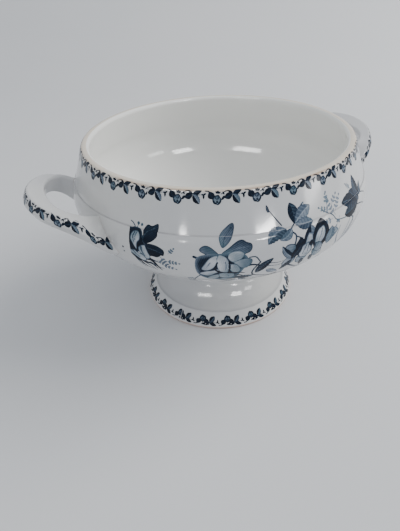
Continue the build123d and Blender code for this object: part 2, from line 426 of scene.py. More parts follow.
# ---------------------------------------------------------------- drawing sheets
def axis(x0, y0, x1, y1):
    """Length of the line, and a function that gives the share along it and the distance aside."""
    L = math.hypot(x1 - x0, y1 - y0)
    ex, ey = (x1 - x0) / L, (y1 - y0) / L

    def along(X, Y):
        return ((X - x0) * ex + (Y - y0) * ey) / L, (Y - y0) * ex - (X - x0) * ey

    return L, along


class Sheet:
    """A flat drawing: ink is how far inside the printed shapes a point is (mm)."""

    def __init__(self, x0, x1, y0, y1, step=GRID, period=None):
        nx = int(round((x1 - x0) / step)) + 1
        ny = int(round((y1 - y0) / step)) + 1
        self.x, self.y = np.meshgrid(np.linspace(x0, x1, nx), np.linspace(y0, y1, ny))
        self.ink = np.full(self.x.shape, -9.0)
        self.tone = np.full(self.x.shape, 0.5)
        self.period = period

    def window(self, xs, ys, pad):
        gx, gy = self.x[0], self.y[:, 0]
        i0, i1 = np.searchsorted(gx, (min(xs) - pad, max(xs) + pad))
        j0, j1 = np.searchsorted(gy, (min(ys) - pad, max(ys) + pad))
        return slice(j0, j1), slice(i0, i1)

    def paint(self, win, sd, tone):
        ink, old = self.ink[win], self.tone[win]
        paint = (sd < 0) | ((sd < 0.7) & (ink < 0))
        old[paint] = np.broadcast_to(tone, sd.shape)[paint]
        np.maximum(ink, -sd, out=ink)

    def copies(self, draw, xs, ys, pad):
        """Draw once, or at every wrap of a repeating border."""
        shifts = (0,) if not self.period else (-self.period, 0, self.period)
        for s in shifts:
            win = self.window([x + s for x in xs], ys, pad)
            if self.x[win].size:
                draw(win, self.x[win] - s, self.y[win])

    def leaf(self, x0, y0, x1, y1, w, bend=0.0, tone=(0.12, 0.5), side=1, full=0.85,
             serr=0.0, n=6, rib=0.22, veins=0.16, tip=1.0):
        """Leaf from stalk to tip; side says which half is the darker one."""
        L, along = axis(x0, y0, x1, y1)

        def draw(win, X, Y):
            a, b = along(X, Y)
            m = np.clip(a, 0, 1)
            d = b - 4 * bend * m * (1 - m)
            tooth = 1 + serr * (1 - 2 * ((m * n) % 1))
            hw = w / 2 * np.sin(math.pi * m ** full) ** (0.75 * tip) * tooth
            out = np.hypot(np.maximum(-a, a - 1).clip(0) * L, np.maximum(abs(d) - hw, 0))
            sd = np.where(abs(d) < hw, (abs(d) - hw) * 0.9, out)
            t = np.where(d * side > 0, tone[0], tone[1])
            v = (m * n + abs(d) / max(w, 1e-3) * 1.6) % 1
            t = t + veins * np.clip(1 - abs(v - 0.5) * 5, 0, 1) * np.where(d * side > 0, 1.0, -0.9)
            t = t + rib * np.exp(-(d / 0.33) ** 2) * (m < 0.93)
            edge = np.clip(1 - (-sd) / 0.5, 0, 1)
            t = t * (1 - 0.7 * edge) + 0.1 * 0.7 * edge
            self.paint(win, sd, np.clip(t, 0, 1))

        self.copies(draw, (x0, x1), (y0, y1), w + abs(bend) + 1.5)

    def petal(self, x0, y0, x1, y1, w, tone=0.86, lines=7, deep=0.75, edge=0.14, width=0.55):
        """Petal from its base to its rounded edge: pale, outlined, hatched at the base."""
        L, along = axis(x0, y0, x1, y1)

        def draw(win, X, Y):
            a, b = along(X, Y)
            c = a * 2 - 1
            wave = 1 + 0.07 * np.sin(b / w * 11 + x0)
            shape = np.where(c > 0, 1.0, 0.72 + 0.28 * np.clip(a * 2, 0, 1))
            q = np.sqrt((c / wave) ** 2 + (b / (w / 2 * shape)) ** 2)
            sd = (q - 1) * min(L, w) / 2
            hatch = 0.5 + 0.5 * np.cos(b / w * 2 * math.pi * lines)
            depth = np.clip(1 - a * 1.9, 0, 1)
            t = tone - deep * depth * (0.45 + 0.55 * hatch) - 0.12 * hatch * (a > 0.3) * (a < 0.8)
            rim = np.clip(1 - (-sd) / width, 0, 1) ** 0.7
            t = t * (1 - rim) + edge * rim
            self.paint(win, sd, np.clip(t, 0, 1))

        self.copies(draw, (x0, x1), (y0, y1), max(w, L) * 0.6 + 1.5)

    def blob(self, pts, tone=0.9, edge=0.12, width=0.7, shade=(0.0, 0.0), lines=0.0, angle=0.0):
        """Closed smooth shape through the points: outlined, shaded across, finely hatched.

        shade is how much the tone changes from the middle to the right and to the
        bottom; lines is the strength of the hatching, which runs along angle.
        """
        P = np.array(pts, float)
        n = len(P)
        t = np.linspace(0, 1, 6, endpoint=False)[:, None]
        S = np.vstack([catmull_rom(P[i - 1], P[i], P[(i + 1) % n], P[(i + 2) % n], t) for i in range(n)])
        mid, half = (S.max(0) + S.min(0)) / 2, (S.max(0) - S.min(0)) / 2

        def draw(win, X, Y):
            sd = np.full(X.shape, 9.0)
            inside = np.zeros(X.shape, bool)
            for (ax, ay), (bx, by) in zip(S, np.roll(S, -1, 0)):
                dx, dy = bx - ax, by - ay
                k = np.clip(((X - ax) * dx + (Y - ay) * dy) / max(dx * dx + dy * dy, 1e-9), 0, 1)
                sd = np.minimum(sd, np.hypot(X - ax - k * dx, Y - ay - k * dy))
                if ay != by:
                    cross = (ay > Y) != (by > Y)
                    inside ^= cross & (X < ax + (Y - ay) / (by - ay) * dx)
            sd = np.where(inside, -sd, sd)
            c, q = math.cos(angle), math.sin(angle)
            hatch = np.cos(((Y - mid[1]) * c - (X - mid[0]) * q) * 2 * math.pi / 1.15)
            val = (tone + shade[0] * (X - mid[0]) / half[0] + shade[1] * (Y - mid[1]) / half[1]
                   + lines * hatch)
            rim = np.clip(1 - (-sd) / width, 0, 1)
            val = val * (1 - rim) + edge * rim
            self.paint(win, sd, np.clip(val, 0, 1))

        self.copies(draw, S[:, 0], S[:, 1], 1.5)

    def stroke(self, pts, w0, w1=None, tone=0.2):
        """Smooth line through the points, its width going from w0 to w1."""
        w1 = w0 if w1 is None else w1
        P = np.array(pts, float)
        Q = np.vstack([2 * P[0] - P[1], P, 2 * P[-1] - P[-2]])
        S = []
        for i in range(1, len(Q) - 2):
            n = max(3, int(np.linalg.norm(Q[i + 1] - Q[i]) / 0.45))
            t = np.linspace(0, 1, n, endpoint=False)[:, None]
            S.append(catmull_rom(*Q[i - 1:i + 3], t))
        S = np.vstack(S + [P[-1:]])
        W = np.linspace(w0, w1, len(S)) / 2

        def draw(win, X, Y):
            sd = np.full(X.shape, 9.0)
            for (px, py), w in zip(S, W):
                sd = np.minimum(sd, np.hypot(X - px, Y - py) - w)
            self.paint(win, sd, tone)

        self.copies(draw, S[:, 0], S[:, 1], 2.0)

    def sprig(self, x, y, angle, length, pairs=3, leaf=2.2, w=1.0, tone=0.3, curve=0.0):
        """Stem with small leaves in pairs and one at its tip."""
        pts, a = [(x, y)], math.radians(angle)
        for i in range(pairs + 1):
            a += math.radians(curve) / (pairs + 1)
            x, y = x + math.cos(a) * length / (pairs + 1), y - math.sin(a) * length / (pairs + 1)
            pts.append((x, y))
            for s in ((-1, 1) if i < pairs else (0,)):
                b = a + s * math.radians(58)
                k = leaf * (1 - 0.12 * i)
                self.leaf(x, y, x + math.cos(b) * k, y - math.sin(b) * k, w, tone=(tone, tone + 0.12),
                          rib=0.0, veins=0.0)
        self.stroke(pts, 0.55, 0.4, tone)

    def trim(self, keep):
        """Cut the drawing where keep (mm inside) is negative."""
        np.minimum(self.ink, keep, out=self.ink)


def contour(sheet):
    """Cut the sheet along ink = 0: points (x, y, tone) and the polygons inside."""
    f = sheet.ink.copy()
    f[abs(f) < 1e-4] = 1e-4
    f[0], f[-1], f[:, 0], f[:, -1] = -1, -1, -1, -1
    ny, nx = f.shape
    ids = np.arange(ny * nx).reshape(ny, nx)
    x, y, t = sheet.x, sheet.y, sheet.tone

    def crossing(a, b):
        fa, fb = f[a], f[b]
        k = np.clip(fa / np.where(fa == fb, 1, fa - fb), 0.06, 0.94)
        tone = np.where(fa > 0, t[a], t[b])
        return np.stack([x[a] + (x[b] - x[a]) * k, y[a] + (y[b] - y[a]) * k, tone], -1)

    across = crossing((slice(None), slice(0, -1)), (slice(None), slice(1, None))).reshape(-1, 3)
    down = crossing((slice(0, -1), slice(None)), (slice(1, None), slice(None))).reshape(-1, 3)
    points = np.vstack([np.stack([x, y, t], -1).reshape(-1, 3), across, down])
    base_h, base_v = ny * nx, ny * nx + ny * (nx - 1)
    a, b, c, d = ids[:-1, :-1], ids[:-1, 1:], ids[1:, 1:], ids[1:, :-1]
    row = np.arange(ny - 1)[:, None]
    col = np.arange(nx - 1)[None]
    top = base_h + row * (nx - 1) + col
    bottom = base_h + (row + 1) * (nx - 1) + col
    left = base_v + row * nx + col
    right = base_v + row * nx + col + 1
    ring = [a, top, b, right, c, bottom, d, left]
    corner_in = [f[:-1, :-1] > 0, f[:-1, 1:] > 0, f[1:, 1:] > 0, f[1:, :-1] > 0]
    code = sum(v.astype(int) << i for i, v in enumerate(corner_in))
    polys = []
    for k in range(1, 16):
        inside = [bool(k >> i & 1) for i in range(4)]
        pick = []
        for i in range(4):
            if inside[i]:
                pick.append(2 * i)
            if inside[i] != inside[(i + 1) % 4]:
                pick.append(2 * i + 1)
        where = code == k
        if where.any():
            polys += np.stack([ring[p][where] for p in pick], -1).tolist()
    used = np.unique(np.concatenate([np.array(p) for p in polys]))
    new = np.full(len(points), -1)
    new[used] = np.arange(len(used))
    return points[used], [[int(new[i]) for i in p] for p in polys]


def shell(name, sheet, surface, shift, rows=1):
    """Lay the cut-out drawing on a surface as a thin closed shell, moved along x by shift.

    surface(x, y) gives places and outward normals in mm.
    """
    pts, polys = contour(sheet)
    P, N = surface(pts[:, 0] + shift, pts[:, 1])
    good = np.isfinite(P).all(1)
    n = len(pts)
    faces, edges = [], {}
    for poly in polys:
        if not all(good[i] for i in poly):
            continue
        faces.append(poly)
        faces.append([n + i for i in reversed(poly)])
        for i, j in zip(poly, poly[1:] + poly[:1]):
            if (j, i) in edges:
                del edges[(j, i)]
            else:
                edges[(i, j)] = True
    for i, j in edges:
        faces.append([j, i, n + i, n + j])
    V = np.nan_to_num(np.vstack([(P + N * INK) * MM, (P - N * INK) * MM]))
    mesh = bpy.data.meshes.new(name)
    mesh.from_pydata(V.tolist(), [], faces)
    att = mesh.attributes.new("tone", "FLOAT", "POINT")
    att.data.foreach_set("value", np.tile(pts[:, 2], 2).astype(np.float32))
    # bake map: the strip is stacked in rows on one square
    F = np.tile(pts[:, :2] + (shift, 0), (2, 1))
    uv = mesh.uv_layers.new(name="OFBake")
    x0, x1, y0, y1 = F[:, 0].min(), F[:, 0].max(), F[:, 1].min(), F[:, 1].max()
    span = (x1 - x0) / rows + 1e-6
    tall = (y1 - y0) + 1.0
    size = max(span + 2, rows * tall)
    loops = values(mesh.loops, "vertex_index")
    starts, totals = values(mesh.polygons, "loop_start"), values(mesh.polygons, "loop_total")
    first = np.repeat(F[loops[starts], 0], totals)
    row = np.floor((first - x0) / span).clip(0, rows - 1)
    u = (F[loops, 0] - x0 - row * span + 1) / size
    v = (F[loops, 1] - y0 + row * tall + 0.5) / size
    uv.data.foreach_set("uv", np.stack([u, v], -1).ravel())
    mesh.shade_smooth()
    mesh.set_sharp_from_angle(angle=math.radians(50))
    mesh.materials.append(ink)
    obj = outward(added(name, mesh))
    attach(obj, "root")


# ---------------------------------------------------------------- surfaces (mm)
def running_length(points):
    return np.concatenate([[0], np.cumsum(np.linalg.norm(np.diff(points, axis=0), axis=1))])


def turned_surface(profile, per_degree, start=0):
    """Surface function of a turned profile; y is mm down it from its point number start."""
    profile = np.array(profile)
    lens = running_length(profile)
    lens -= lens[start]
    half_step = 0.4       # the slope is taken this far to either side, mm

    def at(y):
        return np.stack([np.interp(y, lens, profile[:, 0]), np.interp(y, lens, profile[:, 1])])

    def surface(x, y):
        r, z = at(y)
        dr, dz = at(y + half_step) - at(y - half_step)
        nr, nz = (-dz, dr) / np.hypot(dr, dz)
        a = np.radians(x / per_degree)
        c, s = np.cos(a), np.sin(a)
        return np.stack([r * c, r * s, z], -1), np.stack([nr * c, nr * s, nz], -1)

    return surface


RIM_REPEATS, FOOT_REPEATS = 28, 19
RIM_PERIOD = 360 / RIM_REPEATS * DEG_MM
FOOT_PERIOD = 22.4
FOOT_DEG_MM = FOOT_PERIOD * FOOT_REPEATS / 360
NODE_AT = 0.22            # where the border's first leaf node sits in its period
# from the middle of the lip's rounding down to the foot
on_bowl = turned_surface(lip_out + line(lip_out[-1], collar_foot, 40)[1:] + outer, DEG_MM, len(lip_out) // 2)
on_foot = turned_surface(line((BAND_R, BAND_H), (FOOT_R, FOOT_EDGE), 12), FOOT_DEG_MM)


# the loop of a handle: stations as in the part's source, from the back pad round
HANDLE_SWING, SPREAD, STRAP_TOP = 2.0, 47.0, 140.0
HANDLE_OUT, ROOT_SINK, STRAP_W = 35.5, 5.7, 12.5
LOOP_ROOT = math.sqrt(BELLY_R ** 2 - SPREAD ** 2) - ROOT_SINK
LOOP_OUT = BELLY_R + HANDLE_OUT - STRAP_W * 0.62
# share of the way out and of the spread, direction faced, and three corners of the outer face
STATIONS = (
    (0.00, 0.98, 92, (4.5, 28.0), (9.0, 36.0), (2.0, 42.0)),
    (0.25, 0.97, 88, (6.2, 21.5), (8.2, 27.0), (5.8, 32.5)),
    (0.49, 0.91, 74, (5.0, 9.3), (7.6, 15.5), (5.0, 22.5)),
    (0.78, 0.67, 45, (4.3, 3.2), (7.2, 9.3), (4.0, 16.0)),
    (0.96, 0.30, 15, (5.0, 0.5), (8.6, 7.5), (5.0, 15.0)),
)
half_loop = [(LOOP_ROOT + (LOOP_OUT - LOOP_ROOT) * sh, SPREAD * sp, fc, *c1, *c2, *c3)
             for sh, sp, fc, c1, c2, c3 in STATIONS]
LOOP = np.array(half_loop + [(x, -y, -f, *rest) for x, y, f, *rest in reversed(half_loop)])


def smooth(table, q):
    """Catmull-Rom through the rows of the table at the row numbers q."""
    n = len(table)
    i = np.clip(np.floor(q).astype(int), 0, n - 2)
    t = (q - i)[:, None]
    return catmull_rom(*(table[np.clip(i + k, 0, n - 1)] for k in (-1, 0, 1, 2)), t)


def face_point(q, y):
    """Place and outward direction on the strap's outer face, y mm below its crest."""
    x0, y0, facing, w1, d1, w2, d2, w3, d3 = smooth(LOOP, q).T
    upper = np.hypot(w2 - w1, d2 - d1)
    k1 = np.clip(y / upper, -0.3, 1)
    k2 = np.clip((y - upper) / np.hypot(w3 - w2, d3 - d2), 0, 1.2)
    w = w1 + (w2 - w1) * k1 + (w3 - w2) * k2
    d = d1 + (d2 - d1) * k1 + (d3 - d2) * k2
    f = np.radians(facing)
    nw, nz = np.clip(d3 - d1, 6, None), w3 - w1
    nq = np.hypot(nw, nz)
    P = np.stack([x0 + w * np.cos(f), y0 + w * np.sin(f), STRAP_TOP - d], -1)
    N = np.stack([nw / nq * np.cos(f), nw / nq * np.sin(f), nz / nq], -1)
    return P, N


def handle_surface(name, mirrored):
    """Surface function of a handle's outer face and its length, by casting onto the solid."""
    node_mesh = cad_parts[name].data
    tree = BVHTree.FromPolygons([v.co for v in node_mesh.vertices], [p.vertices for p in node_mesh.polygons])
    q = np.linspace(0, len(LOOP) - 1, 400)
    P, _ = face_point(q, np.full(q.shape, 5.0))
    lens = running_length(P)
    turn = math.radians(HANDLE_SWING)
    rot = np.array([[math.cos(turn), -math.sin(turn), 0], [math.sin(turn), math.cos(turn), 0], [0, 0, 1]])
    flip = np.array([-1.0 if mirrored else 1.0, 1, 1])

    def surface(x, y):
        s = x if mirrored else lens[-1] - x
        P, N = face_point(np.interp(s, lens, q), y - 0.8)
        P, N = (P @ rot.T) * flip, (N @ rot.T) * flip
        for i in range(len(P)):
            start = Vector(P[i] + N[i] * 9) * MM
            hit = tree.ray_cast(start, -Vector(N[i]), 0.02)[0]
            if hit is None or s[i] < 0 or s[i] > lens[-1]:
                P[i] = np.nan
            else:
                P[i] = np.array(hit) / MM
        return P, N

    return surface, lens[-1]


# ---------------------------------------------------------------- motifs
def hanging_leaves(sh, x, y, k=1.0):
    """Border motif: three leaves on a node, a tendril, a bud, a bell and two sprigs.

    Drawn to hang from its node at (x, y); k = -1 turns it to stand up instead.
    """
    def P(dx, dy):
        return x + dx, y + k * dy

    def leaf(a, b, c, d, w, **kw):
        sh.leaf(*P(a, b), *P(c, d), w, **kw)

    def bract(a, b, c, d, w):
        leaf(a, b, c, d, w, tone=dark, rib=0, veins=0)

    dark = (0.03, 0.12)
    sh.stroke([P(-4.8, -1.5), P(-2.4, -1.9), P(0, 0)], 0.8, 0.7, 0.12)
    leaf(-0.2, 0.3, -5.4, 2.6, 4.2, tone=dark, veins=0.1, rib=0.2, full=1.0)
    bract(0.0, 0.0, -3.2, -2.0, 1.8)
    leaf(0.2, -0.1, 6.3, -2.1, 3.0, tone=dark, veins=0.1, rib=0.15, full=1.0)
    leaf(0.2, 0.3, 4.6, 6.3, 4.8, tone=(0.5, 0.06), side=int(-k) or 1, veins=0.25, rib=0.3, serr=0.1,
         full=1.0)
    bract(7.5, 0.3, 7.4, 3.3, 1.4)
    bract(7.4, 0.4, 9.3, -0.3, 1.2)
    bract(7.4, 0.3, 5.8, 0.6, 1.1)
    sh.stroke([P(8.6, -1.8), P(10.6, -1.6), P(12.2, -0.6)], 0.8, 0.9, 0.12)
    sh.stroke([P(0, 0), P(3.5, 0.6), P(7.4, 0.3)], 0.5, 0.5, 0.3)
    leaf(11.2, -1.5, 13.6, 3.2, 4.8, tone=dark, full=1.2, veins=0.1, rib=0.15)
    bract(12.6, 0.2, 15.1, 1.6, 1.8)
    # the bell: outlined, pale inside, with two inner arcs
    sh.petal(*P(16.6, 0.5), *P(16.1, 6.9), 6.2, tone=0.72, lines=6, deep=0.6, edge=0.05, width=1.0)
    sh.stroke([P(14.3, 4.6), P(15.6, 6.1), P(16.4, 4.4), P(17.4, 6.0), P(18.7, 4.2)], 0.75, 0.75, 0.08)
    sh.stroke([P(15.2, 2.3), P(16.4, 3.4), P(17.6, 2.2)], 0.6, 0.6, 0.12)
    bract(17.0, -0.2, 15.3, -1.6, 1.3)
    bract(17.0, -0.2, 17.2, -2.2, 1.4)
    bract(17.0, -0.2, 19.0, -1.2, 1.3)
    sh.stroke([P(19.2, 0.2), P(21.0, -0.9), P(22.1, -1.5)], 0.6, 0.7, 0.2)


def border(period, height, node_y, k):
    """One period of a border; a longer period has two more small leaves in its gap."""
    sh = Sheet(0, period, 0, height, period / round(period / 0.36), period)
    x = period * NODE_AT
    hanging_leaves(sh, x, node_y, k)
    if period > 24:
        for a, b, c, d, w in ((19.6, 3.8, 21.6, 1.0, 1.7), (21.4, 0.6, 20.2, -1.5, 1.2)):
            sh.leaf(x + a, node_y + k * b, x + c, node_y + k * d, w, tone=(0.06, 0.12), rib=0, veins=0)
    return sh


def repeated(sh, times):
    """The repeating sheet laid end to end, so that shapes join across repeats."""
    out = Sheet.__new__(Sheet)
    for key in ("x", "y", "ink", "tone"):
        grid = getattr(sh, key)
        setattr(out, key, np.concatenate([grid[:, :-1]] * times + [grid[:, :1]], 1))
    out.x += np.append(np.repeat(np.arange(times), sh.x.shape[1] - 1), times) * sh.period
    out.period = None
    return out


def deg(theta):
    """Place on a bowl sheet of a direction in degrees round the bowl."""
    return theta * DEG_MM


class Placed:
    """Draws on a sheet with its x counted in another unit from another start."""

    def __init__(self, sheet, start=0.0, unit=1.0):
        self.sheet, self.start, self.unit = sheet, start, unit

    def x(self, x):
        return self.start + self.unit * x

    def leaf(self, x0, y0, x1, y1, *args, **kw):
        self.sheet.leaf(self.x(x0), y0, self.x(x1), y1, *args, **kw)

    def petal(self, x0, y0, x1, y1, *args, **kw):
        self.sheet.petal(self.x(x0), y0, self.x(x1), y1, *args, **kw)

    def sprig(self, x, y, *args, **kw):
        self.sheet.sprig(self.x(x), y, *args, **kw)

    def stroke(self, points, *args, **kw):
        self.sheet.stroke([(self.x(x), y) for x, y in points], *args, **kw)

    def blob(self, points, *args, **kw):
        self.sheet.blob([(self.x(x), y) for x, y in points], *args, **kw)

    def strokes(self, lines, *args, **kw):
        for points in lines:
            self.stroke(points, *args, **kw)


def right_end(d):
    """Long blades, stems and the three-lobed leaf."""
    for a0, s0, a1, s1, a2, s2 in (
            (-71, 60, -69, 50, -65.5, 40), (-68, 62, -64.5, 52, -62.5, 44),
            (-72.5, 62, -71.5, 50, -69.5, 41), (-65, 64, -62, 55, -58.5, 47), (-75, 60, -77, 50, -76, 42)):
        d.stroke(((a0, s0), (a1, s1), (a2, s2)), 1.9, 0.5, 0.62)
    d.stroke(((-84, 25), (-80, 31), (-78, 36), (-73, 38.5)), 0.8, 0.8, 0.45)
    d.stroke(((-61, 30), (-58, 32), (-55, 35)), 0.8, 0.7, 0.3)
    d.stroke(((-65, 36), (-60, 39), (-55, 44)), 1, 0.8, 0.3)
    d.stroke(((-69, 40), (-67, 47), (-70, 58), (-74, 70)), 1.2, 1.5, 0.35)
    d.leaf(-62.6, 34, -74, 27, 11, bend=1.4, tone=(0.1, 0.24), serr=0.08, full=1.15, veins=0.14)
    d.leaf(-63, 34, -73.6, 36.4, 10.5, bend=-1, tone=(0.2, 0.08), serr=0.08, full=1.15, veins=0.14)
    d.leaf(-63, 34, -68.4, 22.6, 10, bend=0.6, tone=(0.08, 0.26), side=-1, serr=0.08, full=1.1, veins=0.14)
    d.leaf(-62.2, 34, -64.6, 27, 5.4, tone=(0.1, 0.3))
    d.leaf(-60.6, 31.5, -64.4, 13.4, 9, bend=-1.8, tone=(0.1, 0.34), serr=0.04, veins=0.14)
    d.leaf(-61, 31, -58.2, 22.5, 5.2, bend=0.8, tone=(0.15, 0.4), side=-1)
    d.sprig(-67, 21.5, 130, 8, 3, 2, 1.1, 0.72, 15)
    d.sprig(-69, 61, 70, 9, 3, 2.6, 1.3, 0.6)


def fern(d):
    """Pale fern between the two right-hand groups."""
    for x0, y0, a, ln, pairs in (
            (-78.5, 32, 122, 18, 5), (-80.2, 27, 168, 11, 3), (-78, 29.5, 66, 11, 3),
            (-81.6, 23, 100, 8, 2), (-80, 33.5, 196, 8, 2), (-76.6, 34.5, 250, 6, 1),
            (-79.4, 24.5, 60, 8, 2)):
        d.sprig(x0, y0, a, ln, pairs, 2.8, 1.5, 0.72, -16)


def foliage(d):
    """Long stems and leaves that run round under the flowers."""
    d.stroke(((-97, 60), (-92, 68), (-86, 74), (-78, 78), (-70, 76), (-62, 70)), 1.6, 0.8, 0.3)
    d.stroke(((-124, 66), (-116, 74), (-106, 78), (-98, 76), (-92, 70)), 1.1, 1.4, 0.3)
    for a0, s0, a1, s1, w, b, tn in (
            (-112, 76, -119, 83, 5.2, 1, (0.35, 0.6)), (-106, 78, -109, 87.5, 5.4, -1, (0.3, 0.55)),
            (-99, 76.5, -103.5, 87, 5.6, 1.2, (0.2, 0.45)), (-95, 74, -94, 86, 6, -1.2, (0.12, 0.4)),
            (-89, 72, -84.5, 84, 6.4, 1.4, (0.25, 0.5)), (-82, 77, -75, 86, 5.4, -1, (0.45, 0.7)),
            (-80, 77, -82.5, 67, 5.2, 1, (0.4, 0.62)), (-74, 77, -72.5, 67.5, 4.6, 0.8, (0.5, 0.7)),
            (-68, 74.5, -62, 81, 5, 0.6, (0.5, 0.7)), (-103, 77, -99.5, 69, 4.6, 0.8, (0.2, 0.5)),
            (-110, 77, -113.5, 69.5, 4.2, -0.6, (0.35, 0.6))):
        d.leaf(a0, s0, a1, s1, w, bend=b, tone=tn, serr=0.1, n=7)


def upper_spray(d):
    """Twig with leaves that stands up from the dark flower to the collar."""
    d.stroke(((-104, 15), (-102.3, 20), (-100, 26.5)), 0.7, 0.9, 0.25)
    d.stroke(((-98, 55), (-96.4, 46), (-95.4, 36), (-97, 31.5), (-95.5, 27)), 1.3, 1, 0.3)
    d.stroke(((-95.4, 36), (-93, 39)), 1, 0.9, 0.3)
    d.leaf(-104, 17, -104.6, 11.6, 2, tone=(0.12, 0.3))
    d.leaf(-98.6, 29.5, -104.9, 37.8, 9.6, bend=2.4, tone=(0.3, 0.52), side=-1, serr=0.1, n=7)
    d.leaf(-96.6, 30.5, -101, 36.4, 6.6, bend=-1.4, tone=(0.42, 0.58))
    d.leaf(-95.4, 27.6, -96.6, 13, 7.6, bend=1, tone=(0.1, 0.3), side=-1, full=1.1, rib=0.1)
    d.leaf(-95, 27, -91.4, 14.6, 5.4, bend=0.5, tone=(0.72, 0.5))
    d.leaf(-95.2, 27.4, -89, 18, 9.6, bend=-1, tone=(0.46, 0.66), side=-1, serr=0.08, full=1.1)
    d.leaf(-95.2, 27.8, -88.4, 29, 8.6, bend=0.8, tone=(0.34, 0.58), serr=0.08, full=1.05)


def dark_flower(d):
    """Open flower: pale petals in dark ones."""
    d.leaf(-84, 44, -77, 44.2, 10, bend=0.5, tone=(0.62, 0.74), serr=0.06)
    d.petal(-88, 50, -84.2, 60.5, 8.5, tone=0.84, lines=6)
    d.petal(-92, 50, -92.6, 62, 9, tone=0.84, lines=7)
    d.petal(-95, 50, -98.8, 61, 8.5, tone=0.86, lines=6)
    for a0, s0, a1, s1, w in (
            (-96, 55, -99.4, 65, 4.4), (-92, 57, -91, 67, 3.8), (-88.5, 57, -86.6, 66, 3.6)):
        d.leaf(a0, s0, a1, s1, w, tone=(0.06, 0.25), serr=0.1)
    d.petal(-94.4, 49, -99.8, 43.5, 10.5, tone=0.7, lines=9, deep=0.65, width=0.8)
    d.leaf(-95, 54, -100.2, 41, 5.2, bend=-1.4, tone=(0.12, 0.6), n=9)
    d.petal(-92.6, 55, -94, 38.6, 9, tone=0.12, lines=8, deep=0.12, edge=0.04, width=0.8)
    d.leaf(-91, 50.5, -89.6, 31.2, 11, bend=0.7, tone=(0.08, 0.56), side=-1, n=9, full=1.05)
    d.petal(-91, 50, -90, 36.5, 5.4, tone=0.9, lines=4, deep=0.3, edge=0.5, width=0.6)
    d.leaf(-86.2, 54, -85.4, 29.6, 15, bend=0.4, tone=(0.05, 0.1), full=1.05, veins=0.1, rib=0, tip=0.9)
    d.petal(-86.9, 50, -85, 35.2, 8.6, tone=0.97, lines=4, deep=0.3, edge=0.4, width=0.6)
    d.stroke(((-85.2, 37), (-85.6, 41), (-86.2, 45)), 1.1, 0.5, 0.6)
    d.leaf(-81.9, 52, -80.6, 38.4, 8.6, bend=0.5, tone=(0.5, 0.62), serr=0.04, veins=0.1)
    d.petal(-91.2, 43, -91.6, 56.8, 10.6, tone=0.98, lines=6, deep=0.35, edge=0.2, width=0.8)
    d.leaf(-93.4, 44, -96.4, 54.5, 6.4, tone=(0.04, 0.16), veins=0.1)
    d.petal(-87.4, 46, -84.8, 55.5, 7.4, tone=0.8, lines=6, deep=0.6, width=0.6)
    for a0, s0, a1, s1 in (
            (-91.4, 45, -92.4, 53), (-90.4, 45, -90.6, 54), (-89.4, 45, -88.8, 53), (-88.4, 44, -86.9, 51),
            (-92.6, 44, -94.4, 50)):
        d.stroke(((a0, s0), (a1, s1)), 0.7, 0.4, 0.22)
    d.petal(-89.6, 47.2, -89.5, 42.4, 3.4, tone=0.1, lines=3, deep=0.1)


def bud(d):
    """Bud and stems between the rose and the dark flower."""
    d.stroke(((-107, 50.5), (-109, 58), (-108.6, 65), (-104, 70.5), (-99, 74)), 1.1, 1.2, 0.25)
    d.stroke(((-110.6, 45.2), (-108.6, 45.6), (-107, 50.5)), 0.9, 0.9, 0.3)
    d.stroke(((-111.4, 52.6), (-109.4, 52.2), (-107.4, 53.4)), 1.9, 1.2, 0.2)
    d.leaf(-108, 62.6, -102.8, 49, 6.8, bend=-1.2, tone=(0.08, 0.3), n=9, veins=0.32)
    d.stroke(((-103.6, 53.4), (-101.2, 54.4), (-99.2, 54)), 0.7, 0.5, 0.3)
    d.stroke(((-104, 56), (-101.4, 57.2), (-99.4, 57)), 0.7, 0.5, 0.35)
    d.leaf(-104.4, 60.4, -99.8, 66.6, 5.2, bend=0.6, tone=(0.55, 0.7), serr=0.08)


